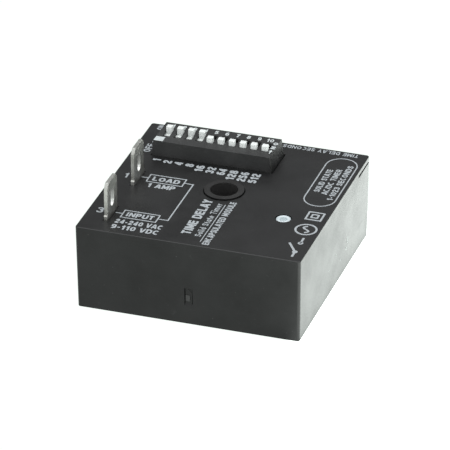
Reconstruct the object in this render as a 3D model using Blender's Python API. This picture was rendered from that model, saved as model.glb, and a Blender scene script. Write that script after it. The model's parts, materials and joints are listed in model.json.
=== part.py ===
"""Encapsulated solid-state delay relay with a ten-position slide switch.

A square potted module that one screw holds through its middle. The black cup and its flush cover
carry two quick-connect blades, an indicator lamp and a ten-position binary slide switch. The
circuit board hangs just under the cover, and its tall parts stand down into the potting.

Frame: +X runs along the front face, +Y towards the switch, +Z up. The origin is the middle of
the bottom face. Lengths are in metres; MM turns the millimetres below into metres.
"""

import math

import bmesh
import bpy
from mathutils import Vector

MM = 0.001
GAP = 0.3 * MM           # between pieces that touch on the real relay
FINE_GAP = 0.12 * MM     # running clearance inside the switch

# Case
CASE_SIDE = 50.8 * MM    # two inches square at the top
CASE_HEIGHT = 19.6 * MM
DRAFT = 0.24 * MM        # how far each side leans in from the top to the bottom
CORNER_RADIUS = 0.6 * MM
WALL = 1.6 * MM
FLOOR = 1.8 * MM
COVER_THICKNESS = 1.3 * MM
COVER_LIP = 0.9 * MM     # how far the cover's locating lip reaches into the cup
LIP_WALL = 1.1 * MM
SHELL_TOP = CASE_HEIGHT - COVER_THICKNESS - GAP

# Screw hole in the middle
BOSS_RADIUS = 4.6 * MM
BOSS_RISE = 0.3 * MM     # above the cover
BORE_RADIUS = 3.1 * MM
BORE_CHAMFER = 0.25 * MM
ROUND_SEGMENTS = 40

# Shallow recess in the front face
MARK_X = 0.25 * MM
MARK_WIDTH = 1.9 * MM
MARK_LOW = 4.4 * MM
MARK_HIGH = 8.9 * MM
MARK_DEPTH = 0.35 * MM

# Circuit board
BOARD_TOP = 16.5 * MM
BOARD_THICKNESS = 1.6 * MM
BOARD_BOTTOM = BOARD_TOP - BOARD_THICKNESS
BOARD_SIDE = 46.0 * MM
LEAD_END = 13.6 * MM     # how low leads reach that pass through the board

# Quick-connect blades, 6.35 mm wide and 0.8 mm thick
BLADE_AT = {"1": (-19.8 * MM, -0.4 * MM), "3": (-20.05 * MM, -17.2 * MM)}
BLADE_WIDTH = 6.35 * MM
BLADE_THICKNESS = 0.8 * MM
BLADE_HEIGHT = 8.55 * MM
BLADE_CHAMFER = 1.1 * MM
BLADE_SHOULDER = 7.0 * MM
SHOULDER_HEIGHT = 1.1 * MM
BLADE_SLOT_WIDTH = 1.9 * MM
BLADE_SLOT_LENGTH = 4.0 * MM
BLADE_SLOT_Z = CASE_HEIGHT + 4.0 * MM
BLADE_LEG = 1.5 * MM
BLADE_LEG_OFFSET = 2.3 * MM

# Indicator lamp
LAMP_X = 16.05 * MM
LAMP_Y = -7.9 * MM
LAMP_RADIUS = 1.65 * MM
LAMP_FLANGE_RADIUS = 2.0 * MM
LAMP_RECESS = 0.08 * MM
LAMP_HOLE_RADIUS = 1.95 * MM
LAMP_LEAD_PITCH = 2.54 * MM
LEAD = 0.5 * MM

# Slide switch
POSITIONS = 10
PITCH = 2.54 * MM
SWITCH_X = -6.67 * MM
SWITCH_Y = 15.48 * MM
SWITCH_LENGTH = 26.85 * MM
SWITCH_WIDTH = 9.15 * MM
SWITCH_FLARE = 0.45 * MM          # each end leans out from the top down to the cover
SWITCH_TOP = CASE_HEIGHT + 3.67 * MM
SWITCH_SEAT = BOARD_TOP + GAP
SWITCH_WALL = 0.6 * MM
SWITCH_ROOF = 0.6 * MM
BASE_THICKNESS = 1.0 * MM
PIN_ROW = 3.81 * MM               # half of the 7.62 mm between pin rows
SLOT_WIDTH = 1.6 * MM
CHANNEL_WIDTH = 2.05 * MM

# Sliders of the switch
KNOB_WIDTH = 1.35 * MM
KNOB_LENGTH = 1.3 * MM
KNOB_RISE = 1.12 * MM             # above the switch's top face
KNOB_NEAR = 13.65 * MM            # near face of a knob pushed towards the screw hole
TRAVEL = 2.25 * MM
PUSHED_AWAY = 4                   # the first four stand at the far end of their slots
FLANGE_WIDTH = 1.8 * MM
FLANGE_REACH = 1.0 * MM
FLANGE_THICKNESS = 0.8 * MM
LUG_DEPTH = 1.0 * MM

# Contacts of the switch
STRIP_WIDTH = 0.6 * MM
STRIP_THICKNESS = 0.2 * MM

# Parts that hang from the board into the potting: centre in X and Y, then sizes
HANG = BOARD_BOTTOM - GAP
CAN_AT = (15.5 * MM, 15.3 * MM)
CAN_RADIUS = 4.0 * MM
CAN_LENGTH = 10.5 * MM
CHIP_AT = (8.2 * MM, -14.4 * MM)
CHIP_LENGTH = 9.9 * MM
CHIP_WIDTH = 3.9 * MM
CHIP_REACH = 3.0 * MM    # from the middle to the tips of the legs
CHIP_DEPTH = 1.65 * MM
LYING_STANDOFF = 0.8 * MM
LYING_REACH = 1.6 * MM   # how far the bent leads stand out at each end
PACKAGE_STANDOFF = 1.2 * MM
LYING_PARTS = {
    "dropping_resistor": ((-1.6 * MM, -20.5 * MM), 2.0 * MM, 9.0 * MM),
    "timing_resistor": ((-9.0 * MM, 7.0 * MM), 1.15 * MM, 6.3 * MM),
    "gate_resistor": ((-12.0 * MM, 3.4 * MM), 1.15 * MM, 6.3 * MM),
    "lamp_resistor": ((16.0 * MM, -3.6 * MM), 1.15 * MM, 6.3 * MM),
    "zener_diode": ((17.2 * MM, -19.6 * MM), 1.3 * MM, 4.6 * MM),
    "snubber_resistor": ((13.5 * MM, 6.6 * MM), 1.15 * MM, 6.3 * MM),
}
BLOCKS = {
    "timing_capacitor": ((15.4 * MM, 1.7 * MM), (9.5 * MM, 4.4 * MM, 8.5 * MM)),
    "bridge_rectifier": ((-11.5 * MM, -8.6 * MM), (8.4 * MM, 6.3 * MM, 3.4 * MM)),
    "surge_varistor": ((-12.6 * MM, -0.9 * MM), (7.0 * MM, 3.0 * MM, 7.6 * MM)),
}
PACKAGES = {
    "thyristor": ((-13.0 * MM, -17.3 * MM), (7.6 * MM, 2.8 * MM, 9.4 * MM),
                  (-2.28 * MM, 0.0, 2.28 * MM)),
    "gate_transistor": ((-4.6 * MM, -13.0 * MM), (4.6 * MM, 3.6 * MM, 4.6 * MM),
                        (-1.27 * MM, 0.0, 1.27 * MM)),
    "noise_capacitor": ((1.0 * MM, -8.9 * MM), (4.2 * MM, 2.4 * MM, 4.0 * MM),
                        (-1.27 * MM, 1.27 * MM)),
}

BLACK = (0.034, 0.034, 0.036)
materials = {}


def material(name, color, roughness, metallic=0.0):
    """Return the named Principled material, made once."""
    if name not in materials:
        made = bpy.data.materials.new(name)
        made.use_nodes = True
        shader = made.node_tree.nodes["Principled BSDF"]
        shader.inputs["Base Color"].default_value = (*color, 1.0)
        shader.inputs["Roughness"].default_value = roughness
        shader.inputs["Metallic"].default_value = metallic
        made.diffuse_color = (*color, 1.0)
        materials[name] = made
    return materials[name]


def case_plastic():
    return material("case_plastic", BLACK, 0.45)


def potting_resin():
    return material("potting_resin", (0.02, 0.02, 0.022), 0.6)


def board_laminate():
    return material("board_laminate", (0.05, 0.17, 0.08), 0.5)


def tinned_metal():
    return material("tinned_metal", (0.52, 0.52, 0.49), 0.35, 1.0)


def contact_metal():
    return material("contact_metal", (0.75, 0.6, 0.3), 0.3, 1.0)


def switch_plastic():
    return material("switch_plastic", (0.042, 0.044, 0.044), 0.5)


def slider_plastic():
    return material("slider_plastic", (0.8, 0.84, 0.82), 0.4)


def lens_plastic():
    return material("lens_plastic", (0.8, 0.85, 0.87), 0.25)


def package_plastic():
    return material("package_plastic", (0.02, 0.02, 0.02), 0.55)


def capacitor_sleeve():
    return material("capacitor_sleeve", (0.03, 0.05, 0.16), 0.35)


def film_plastic():
    return material("film_plastic", (0.45, 0.06, 0.04), 0.4)


def ceramic():
    return material("ceramic", (0.55, 0.33, 0.12), 0.5)


def add_object(name, mesh_builder, finish):
    """Make an object whose mesh is drawn by mesh_builder, with one material."""
    mesh = bpy.data.meshes.new(name)
    shape = bmesh.new()
    mesh_builder(shape)
    bmesh.ops.recalc_face_normals(shape, faces=shape.faces)
    shape.to_mesh(mesh)
    shape.free()
    made = bpy.data.objects.new(name, mesh)
    bpy.context.scene.collection.objects.link(made)
    made.data.materials.append(finish)
    mesh.shade_smooth()
    mesh.set_sharp_from_angle(angle=math.radians(35))
    return made


def add_cutter(name, mesh_builder):
    """Make a hidden shape that only cuts or joins other pieces."""
    cutter = add_object(name, mesh_builder, material("guide", (1.0, 0.3, 0.1), 0.5))
    cutter.hide_render = True
    cutter.display_type = "WIRE"
    return cutter


def combine(target, cutter, operation="DIFFERENCE"):
    """Cut the cutter from the target, or join it with operation UNION."""
    modifier = target.modifiers.new(cutter.name, "BOOLEAN")
    modifier.operation = operation
    modifier.object = cutter
    modifier.solver = "EXACT"


def prism(shape, outline, start, end, axis="Z", end_outline=None):
    """Extrude a closed outline along an axis, or taper it to end_outline."""
    def place(point, along):
        first, second = point
        if axis == "X":
            return Vector((along, first, second))
        if axis == "Y":
            return Vector((first, along, second))
        return Vector((first, second, along))

    low = [shape.verts.new(place(point, start)) for point in outline]
    high = [shape.verts.new(place(point, end)) for point in (end_outline or outline)]
    shape.faces.new(low)
    shape.faces.new(high)
    count = len(outline)
    for index in range(count):
        after = (index + 1) % count
        shape.faces.new((low[index], low[after], high[after], high[index]))


def box(shape, low, high):
    """Add a plain block between two corners."""
    outline = rectangle(low[0], high[0], low[1], high[1])
    prism(shape, outline, low[2], high[2])


def rectangle(first_low, first_high, second_low, second_high):
    return [(first_low, second_low), (first_high, second_low),
            (first_high, second_high), (first_low, second_high)]


def rounded_square(side, radius, steps=3):
    """Outline of a square about the origin with round corners."""
    centre = side / 2 - radius
    points = []
    for corner in range(4):
        turn = math.pi / 2 * corner
        middle_x = centre * (1 if corner in (0, 3) else -1)
        middle_y = centre * (1 if corner in (0, 1) else -1)
        for step in range(steps + 1):
            angle = turn + math.pi / 2 * step / steps
            points.append((middle_x + radius * math.cos(angle),
                           middle_y + radius * math.sin(angle)))
    return points


def circle(radius, segments=ROUND_SEGMENTS, centre=(0.0, 0.0)):
    return [(centre[0] + radius * math.cos(math.tau * index / segments),
             centre[1] + radius * math.sin(math.tau * index / segments))
            for index in range(segments)]


def turned(shape, profile, centre, segments):
    """Turn a profile of (radius, height) about a vertical axis; it starts and ends at radius 0."""
    middle = profile[1:-1]
    bottom = shape.verts.new((centre[0], centre[1], profile[0][1]))
    top = shape.verts.new((centre[0], centre[1], profile[-1][1]))
    rings = []
    for radius, height in middle:
        ring = [shape.verts.new((x, y, height)) for x, y in circle(radius, segments, centre)]
        rings.append(ring)
    for index in range(segments):
        after = (index + 1) % segments
        shape.faces.new((bottom, rings[0][after], rings[0][index]))
        shape.faces.new((top, rings[-1][index], rings[-1][after]))
        for lower, upper in zip(rings, rings[1:]):
            shape.faces.new((lower[index], lower[after], upper[after], upper[index]))


def ribbon_outline(path, thickness):
    """Outline of a bent strip: its centre line offset to both sides with mitred corners."""
    sides = ([], [])
    for index, point in enumerate(path):
        here = Vector(point)
        before = Vector(path[max(index - 1, 0)])
        after = Vector(path[min(index + 1, len(path) - 1)])
        into = (here - before).normalized() if index else (after - here).normalized()
        out = (after - here).normalized() if index < len(path) - 1 else into
        normal_in = Vector((-into.y, into.x))
        normal_out = Vector((-out.y, out.x))
        mitre = (normal_in + normal_out).normalized()
        reach = thickness / 2 / mitre.dot(normal_out)
        sides[0].append(tuple(here + mitre * reach))
        sides[1].append(tuple(here - mitre * reach))
    return sides[0] + sides[1][::-1]


def side_at(height, inset=0.0):
    """Side of the drafted case at a height, less an inset on each side."""
    lean = DRAFT * (1 - height / CASE_HEIGHT)
    return CASE_SIDE - 2 * (lean + inset)


def position_x(index):
    """Centre of one switch position, counted from 0 at the left."""
    return SWITCH_X + (index - (POSITIONS - 1) / 2) * PITCH


def blade_legs():
    """Centre of every blade leg in X and Y."""
    return [(centre_x, centre_y + sign * BLADE_LEG_OFFSET)
            for centre_x, centre_y in BLADE_AT.values() for sign in (-1, 1)]


def lamp_leads():
    return [LAMP_X - LAMP_LEAD_PITCH / 2, LAMP_X + LAMP_LEAD_PITCH / 2]


def make_housing_shell():
    """The drafted cup with its central screw boss."""
    def cup(shape):
        prism(shape, rounded_square(side_at(0), CORNER_RADIUS), 0, SHELL_TOP,
              end_outline=rounded_square(side_at(SHELL_TOP), CORNER_RADIUS))

    def hollow(shape):
        above = SHELL_TOP + 1 * MM
        prism(shape, rounded_square(side_at(FLOOR, WALL), CORNER_RADIUS), FLOOR, above,
              end_outline=rounded_square(side_at(above, WALL), CORNER_RADIUS))

    def boss(shape):
        prism(shape, circle(BOSS_RADIUS), FLOOR / 2, CASE_HEIGHT + BOSS_RISE)

    def bore(shape):
        mouth = BORE_RADIUS + BORE_CHAMFER
        top = CASE_HEIGHT + BOSS_RISE
        clear = 1 * MM
        profile = [(0, -clear), (mouth + clear, -clear), (mouth, 0), (BORE_RADIUS, BORE_CHAMFER),
                   (BORE_RADIUS, top - BORE_CHAMFER), (mouth, top),
                   (mouth + clear, top + clear), (0, top + clear)]
        turned(shape, profile, (0, 0), ROUND_SEGMENTS)

    def latch_mark(shape):
        face = -CASE_SIDE / 2
        box(shape, (MARK_X - MARK_WIDTH / 2, face - 1 * MM, MARK_LOW),
            (MARK_X + MARK_WIDTH / 2, face + DRAFT + MARK_DEPTH, MARK_HIGH))

    shell = add_object("housing_shell", cup, case_plastic())
    combine(shell, add_cutter("cutter_shell_hollow", hollow))
    combine(shell, add_cutter("joiner_boss", boss), "UNION")
    combine(shell, add_cutter("cutter_bore", bore))
    combine(shell, add_cutter("cutter_latch_mark", latch_mark))


def make_top_cover():
    """The flush cover with its lip and its five openings."""
    def plate(shape):
        low = CASE_HEIGHT - COVER_THICKNESS
        prism(shape, rounded_square(side_at(low), CORNER_RADIUS), low, CASE_HEIGHT,
              end_outline=rounded_square(side_at(CASE_HEIGHT), CORNER_RADIUS))

    def lip(shape):
        low = SHELL_TOP - COVER_LIP
        side = side_at(low, WALL + GAP)
        prism(shape, rounded_square(side, CORNER_RADIUS), low, CASE_HEIGHT - COVER_THICKNESS / 2)

    def lip_hollow(shape):
        low = SHELL_TOP - COVER_LIP
        side = side_at(low, WALL + GAP + LIP_WALL)
        prism(shape, rounded_square(side, CORNER_RADIUS), low - 1 * MM,
              CASE_HEIGHT - COVER_THICKNESS)

    def openings(shape):
        low, high = SHELL_TOP - 2 * MM, CASE_HEIGHT + 1 * MM
        prism(shape, circle(BOSS_RADIUS + GAP), low, high)
        prism(shape, circle(LAMP_HOLE_RADIUS, 24, (LAMP_X, LAMP_Y)), low, high)
        half_length = SWITCH_LENGTH / 2 + SWITCH_FLARE + GAP
        half_width = SWITCH_WIDTH / 2 + GAP
        box(shape, (SWITCH_X - half_length, SWITCH_Y - half_width, low),
            (SWITCH_X + half_length, SWITCH_Y + half_width, high))
        half_thick = BLADE_THICKNESS / 2 + GAP
        reach = BLADE_SHOULDER / 2 + GAP
        for centre_x, centre_y in BLADE_AT.values():
            box(shape, (centre_x - half_thick, centre_y - reach, low),
                (centre_x + half_thick, centre_y + reach, high))

    cover = add_object("top_cover", plate, case_plastic())
    combine(cover, add_cutter("joiner_cover_lip", lip), "UNION")
    combine(cover, add_cutter("cutter_lip_hollow", lip_hollow))
    combine(cover, add_cutter("cutter_cover_openings", openings))


def make_circuit_board():
    """The board, with a clearance hole for the boss and a hole for every lead."""
    def sheet(shape):
        prism(shape, rounded_square(BOARD_SIDE, 1 * MM), BOARD_BOTTOM, BOARD_TOP)

    def holes(shape):
        low, high = BOARD_BOTTOM - 1 * MM, BOARD_TOP + 1 * MM
        prism(shape, circle(BOSS_RADIUS + 2 * GAP, 24), low, high)
        half_x = STRIP_WIDTH / 2 + GAP
        half_y = STRIP_THICKNESS / 2 + GAP
        for index in range(POSITIONS):
            for row in (SWITCH_Y - PIN_ROW, SWITCH_Y + PIN_ROW):
                box(shape, (position_x(index) - half_x, row - half_y, low),
                    (position_x(index) + half_x, row + half_y, high))
        half_x = BLADE_THICKNESS / 2 + GAP
        half_y = BLADE_LEG / 2 + GAP
        for centre_x, centre_y in blade_legs():
            box(shape, (centre_x - half_x, centre_y - half_y, low),
                (centre_x + half_x, centre_y + half_y, high))
        half = LEAD / 2 + GAP
        for middle in lamp_leads():
            box(shape, (middle - half, LAMP_Y - half, low), (middle + half, LAMP_Y + half, high))

    board = add_object("circuit_board", sheet, board_laminate())
    combine(board, add_cutter("cutter_board_holes", holes))


def make_terminal_blade(number):
    """One quick-connect blade with its shoulders, slot and two board legs."""
    centre_x, middle = BLADE_AT[number]
    half_tab = BLADE_WIDTH / 2
    half_shoulder = BLADE_SHOULDER / 2
    top = CASE_HEIGHT + BLADE_HEIGHT
    seat = BOARD_TOP + GAP
    inner = BLADE_LEG_OFFSET - BLADE_LEG / 2
    outer = BLADE_LEG_OFFSET + BLADE_LEG / 2
    right = [(inner, seat), (inner, LEAD_END), (outer, LEAD_END), (outer, seat),
             (half_shoulder, seat), (half_shoulder, CASE_HEIGHT + SHOULDER_HEIGHT),
             (half_tab, CASE_HEIGHT + SHOULDER_HEIGHT), (half_tab, top - BLADE_CHAMFER),
             (half_tab - BLADE_CHAMFER, top)]
    outline = right + [(-offset, height) for offset, height in reversed(right)]
    outline = [(middle + offset, height) for offset, height in outline]

    def blade(shape):
        prism(shape, outline, centre_x - BLADE_THICKNESS / 2, centre_x + BLADE_THICKNESS / 2, "X")

    def slot(shape):
        radius = BLADE_SLOT_WIDTH / 2
        straight = BLADE_SLOT_LENGTH / 2 - radius
        steps = 8
        points = []
        for half in (0, 1):
            for step in range(steps + 1):
                angle = math.pi * (half + step / steps)
                shift = straight if half == 0 else -straight
                points.append((middle + radius * math.cos(angle),
                               BLADE_SLOT_Z + shift + radius * math.sin(angle)))
        prism(shape, points, centre_x - BLADE_THICKNESS, centre_x + BLADE_THICKNESS, "X")

    tab = add_object(f"terminal_blade_{number}", blade, tinned_metal())
    combine(tab, add_cutter(f"cutter_blade_slot_{number}", slot))


def make_indicator_lamp():
    """A small round lamp that ends at the cover's top, with its two leads."""
    seat = BOARD_TOP + GAP
    top = CASE_HEIGHT - LAMP_RECESS
    flange_top = seat + 1.0 * MM

    def lens(shape):
        profile = [(0, seat), (LAMP_FLANGE_RADIUS, seat), (LAMP_FLANGE_RADIUS, flange_top),
                   (LAMP_RADIUS, flange_top), (LAMP_RADIUS, top - 0.35 * MM),
                   (LAMP_RADIUS * 0.75, top - 0.08 * MM), (0, top)]
        turned(shape, profile, (LAMP_X, LAMP_Y), 24)

    add_object("indicator_lamp", lens, lens_plastic())
    for name, middle in zip(("anode", "cathode"), lamp_leads()):
        def lead(shape, middle=middle):
            box(shape, (middle - LEAD / 2, LAMP_Y - LEAD / 2, LEAD_END),
                (middle + LEAD / 2, LAMP_Y + LEAD / 2, seat - GAP / 2))
        add_object(f"lamp_lead_{name}", lead, tinned_metal())


def make_switch_case():
    """The switch's cover: a slotted roof over one channel for each slider."""
    half_length = SWITCH_LENGTH / 2
    half_width = SWITCH_WIDTH / 2
    foot = half_length + SWITCH_FLARE
    base_top = SWITCH_SEAT + BASE_THICKNESS
    slot_low = KNOB_NEAR - FINE_GAP
    slot_high = KNOB_NEAR + TRAVEL + KNOB_LENGTH + FINE_GAP

    def body(shape):
        outline = [(SWITCH_X - foot, SWITCH_SEAT), (SWITCH_X + foot, SWITCH_SEAT),
                   (SWITCH_X + foot, CASE_HEIGHT), (SWITCH_X + half_length, SWITCH_TOP),
                   (SWITCH_X - half_length, SWITCH_TOP), (SWITCH_X - foot, CASE_HEIGHT)]
        prism(shape, outline, SWITCH_Y - half_width, SWITCH_Y + half_width, "Y")

    def base_recess(shape):
        reach_x = foot - SWITCH_WALL
        reach_y = half_width - SWITCH_WALL
        box(shape, (SWITCH_X - reach_x, SWITCH_Y - reach_y, SWITCH_SEAT - 1 * MM),
            (SWITCH_X + reach_x, SWITCH_Y + reach_y, base_top + FINE_GAP))

    def channels(shape):
        reach_y = half_width - SWITCH_WALL
        for index in range(POSITIONS):
            middle = position_x(index)
            box(shape, (middle - CHANNEL_WIDTH / 2, SWITCH_Y - reach_y, base_top),
                (middle + CHANNEL_WIDTH / 2, SWITCH_Y + reach_y, SWITCH_TOP - SWITCH_ROOF))

    def slots(shape):
        for index in range(POSITIONS):
            middle = position_x(index)
            box(shape, (middle - SLOT_WIDTH / 2, slot_low, SWITCH_TOP - 2 * SWITCH_ROOF),
                (middle + SLOT_WIDTH / 2, slot_high, SWITCH_TOP + 1 * MM))

    case = add_object("switch_case", body, switch_plastic())
    combine(case, add_cutter("cutter_switch_base", base_recess))
    combine(case, add_cutter("cutter_switch_channels", channels))
    combine(case, add_cutter("cutter_switch_slots", slots))


def make_switch_base():
    """The plate that closes the switch from below, notched for its twenty pins."""
    reach_x = SWITCH_LENGTH / 2 + SWITCH_FLARE - SWITCH_WALL - FINE_GAP
    reach_y = SWITCH_WIDTH / 2 - SWITCH_WALL - FINE_GAP

    def plate(shape):
        box(shape, (SWITCH_X - reach_x, SWITCH_Y - reach_y, SWITCH_SEAT),
            (SWITCH_X + reach_x, SWITCH_Y + reach_y, SWITCH_SEAT + BASE_THICKNESS))

    def notches(shape):
        half = STRIP_WIDTH / 2 + FINE_GAP
        inner = PIN_ROW - STRIP_THICKNESS / 2 - FINE_GAP
        for index in range(POSITIONS):
            for sign in (-1, 1):
                ends = sorted((SWITCH_Y + sign * inner, SWITCH_Y + sign * (reach_y + 1 * MM)))
                box(shape, (position_x(index) - half, ends[0], SWITCH_SEAT - 1 * MM),
                    (position_x(index) + half, ends[1], SWITCH_SEAT + BASE_THICKNESS + 1 * MM))

    base = add_object("switch_base", plate, switch_plastic())
    combine(base, add_cutter("cutter_base_notches", notches))


def make_slider(index):
    """One white slider: a knob on a flange that runs under the roof, with a lug below."""
    rest_shift = TRAVEL if index < PUSHED_AWAY else 0.0
    half = KNOB_LENGTH / 2
    rail = Vector((position_x(index), KNOB_NEAR + half + rest_shift, SWITCH_TOP))
    flange_top = -SWITCH_ROOF - FINE_GAP
    flange_low = flange_top - FLANGE_THICKNESS
    round_off = 0.15 * MM

    def knob(shape):
        foot = flange_top - FLANGE_THICKNESS / 2
        outline = [(-half, foot), (half, foot), (half, KNOB_RISE - round_off),
                   (half - round_off, KNOB_RISE), (-half + round_off, KNOB_RISE),
                   (-half, KNOB_RISE - round_off)]
        prism(shape, outline, -KNOB_WIDTH / 2, KNOB_WIDTH / 2, "X")

    def carriage(shape):
        reach = half + FLANGE_REACH
        outline = [(-reach, flange_low), (-half, flange_low), (-half / 2, flange_low - LUG_DEPTH),
                   (half / 2, flange_low - LUG_DEPTH), (half, flange_low), (reach, flange_low),
                   (reach, flange_top), (-reach, flange_top)]
        prism(shape, outline, -FLANGE_WIDTH / 2, FLANGE_WIDTH / 2, "X")

    name = f"slider_{index + 1:02d}"
    slider = add_object(name, carriage, slider_plastic())
    upper = add_cutter(f"joiner_knob_{index + 1:02d}", knob)
    slider.location = rail
    upper.location = rail
    combine(slider, upper, "UNION")


def make_contacts(index):
    """The sprung strip under one slider and the fixed strip that it closes on."""
    middle = position_x(index)
    base_top = SWITCH_SEAT + BASE_THICKNESS
    near_pin = SWITCH_Y - PIN_ROW
    far_pin = SWITCH_Y + PIN_ROW
    rail = base_top + 2.3 * MM
    sprung = [(near_pin, LEAD_END), (near_pin, base_top + 0.4 * MM), (near_pin + 1.3 * MM, rail),
              (far_pin - 1.5 * MM, rail), (far_pin - 0.8 * MM, base_top + 1.1 * MM)]
    fixed = [(far_pin, LEAD_END), (far_pin, base_top + 0.5 * MM),
             (far_pin - 1.0 * MM, base_top + 0.5 * MM)]
    for name, path in (("sprung_contact", sprung), ("fixed_contact", fixed)):
        def strip(shape, path=path):
            prism(shape, ribbon_outline(path, STRIP_THICKNESS),
                  middle - STRIP_WIDTH / 2, middle + STRIP_WIDTH / 2, "X")
        add_object(f"{name}_{index + 1:02d}", strip, contact_metal())


def hanging_can(name, centre, radius, height, finish, segments=20):
    """A round part standing down from the board, with a small rim at its sealed end."""
    low = HANG - height

    def can(shape):
        rim = 0.4 * MM
        profile = [(0, low), (radius - rim, low), (radius, low + rim), (radius, HANG - 1.4 * MM),
                   (radius - rim, HANG - 1.1 * MM), (radius, HANG - 0.8 * MM), (radius, HANG),
                   (0, HANG)]
        turned(shape, profile, centre, segments)

    add_object(name, can, finish)


def hanging_block(name, centre, size, finish, bevel=0.3 * MM):
    """A moulded block standing down from the board, with bevelled edges."""
    def block(shape):
        half_x, half_y = size[0] / 2, size[1] / 2
        box(shape, (centre[0] - half_x, centre[1] - half_y, HANG - size[2]),
            (centre[0] + half_x, centre[1] + half_y, HANG))
        bmesh.ops.bevel(shape, geom=list(shape.edges), offset=bevel, segments=1,
                        affect="EDGES")

    add_object(name, block, finish)


def lying_part(name, centre, radius, length, finish, segments=12):
    """A round part lying under the board, with its two leads bent up to it."""
    axis_z = HANG - LYING_STANDOFF - radius
    wire = 0.3 * MM
    reach = length / 2 + LYING_REACH - wire

    def body(shape):
        outline = circle(radius, segments, (centre[1], axis_z))
        prism(shape, outline, centre[0] - length / 2, centre[0] + length / 2, "X")

    def leads(shape):
        for sign in (-1, 1):
            path = [(centre[0] + sign * (length / 2 - 0.5 * MM), axis_z),
                    (centre[0] + sign * reach, axis_z), (centre[0] + sign * reach, HANG)]
            prism(shape, ribbon_outline(path, 2 * wire), centre[1] - wire, centre[1] + wire, "Y")

    part = add_object(name, body, finish)
    combine(part, add_cutter(f"joiner_{name}_leads", leads), "UNION")


def leaded_block(name, centre, size, leads, finish):
    """A moulded package held off the board on straight leads, given by their X offsets."""
    wire = 0.3 * MM
    top = HANG - PACKAGE_STANDOFF
    low = top - size[2]

    def body(shape):
        half_x, half_y = size[0] / 2, size[1] / 2
        box(shape, (centre[0] - half_x, centre[1] - half_y, low),
            (centre[0] + half_x, centre[1] + half_y, top))
        bmesh.ops.bevel(shape, geom=list(shape.edges), offset=0.25 * MM, segments=1,
                        affect="EDGES")

    def wires(shape):
        for offset in leads:
            middle = centre[0] + offset
            box(shape, (middle - wire, centre[1] - wire, top - 0.6 * MM),
                (middle + wire, centre[1] + wire, HANG))

    part = add_object(name, body, finish)
    combine(part, add_cutter(f"joiner_{name}_leads", wires), "UNION")


def make_counter_chip():
    """The counter chip: a flat package with eight gull-wing legs on each long side."""
    middle_x, middle_y = CHIP_AT
    leg_pitch = 1.27 * MM
    leg_half = 0.2 * MM
    legs_each_side = 8
    top = HANG - 0.15 * MM
    low = HANG - CHIP_DEPTH
    board_side = HANG - 0.1 * MM

    def body(shape):
        box(shape, (middle_x - CHIP_LENGTH / 2, middle_y - CHIP_WIDTH / 2, low),
            (middle_x + CHIP_LENGTH / 2, middle_y + CHIP_WIDTH / 2, top))

    def legs(shape):
        level = (low + top) / 2
        for index in range(legs_each_side):
            middle = middle_x + (index - (legs_each_side - 1) / 2) * leg_pitch
            for sign in (-1, 1):
                start = middle_y + sign * (CHIP_WIDTH / 2 - 0.3 * MM)
                knee = middle_y + sign * (CHIP_WIDTH / 2 + 0.45 * MM)
                foot = middle_y + sign * CHIP_REACH
                path = [(start, level), (knee, level), (knee, board_side), (foot, board_side)]
                prism(shape, ribbon_outline(path, 0.2 * MM), middle - leg_half,
                      middle + leg_half, "X")

    chip = add_object("counter_chip", body, package_plastic())
    combine(chip, add_cutter("joiner_chip_legs", legs), "UNION")


def make_board_parts():
    """Everything that hangs from the board into the potting."""
    hanging_can("supply_capacitor", CAN_AT, CAN_RADIUS, CAN_LENGTH, capacitor_sleeve())
    make_counter_chip()
    for name, (centre, radius, length) in LYING_PARTS.items():
        lying_part(name, centre, radius, length, ceramic())
    finishes = {"timing_capacitor": film_plastic(), "bridge_rectifier": package_plastic(),
                "surge_varistor": film_plastic()}
    for name, (centre, size) in BLOCKS.items():
        hanging_block(name, centre, size, finishes[name])
    for name, (centre, size, leads) in PACKAGES.items():
        finish = ceramic() if name == "noise_capacitor" else package_plastic()
        leaded_block(name, centre, size, leads, finish)


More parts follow.
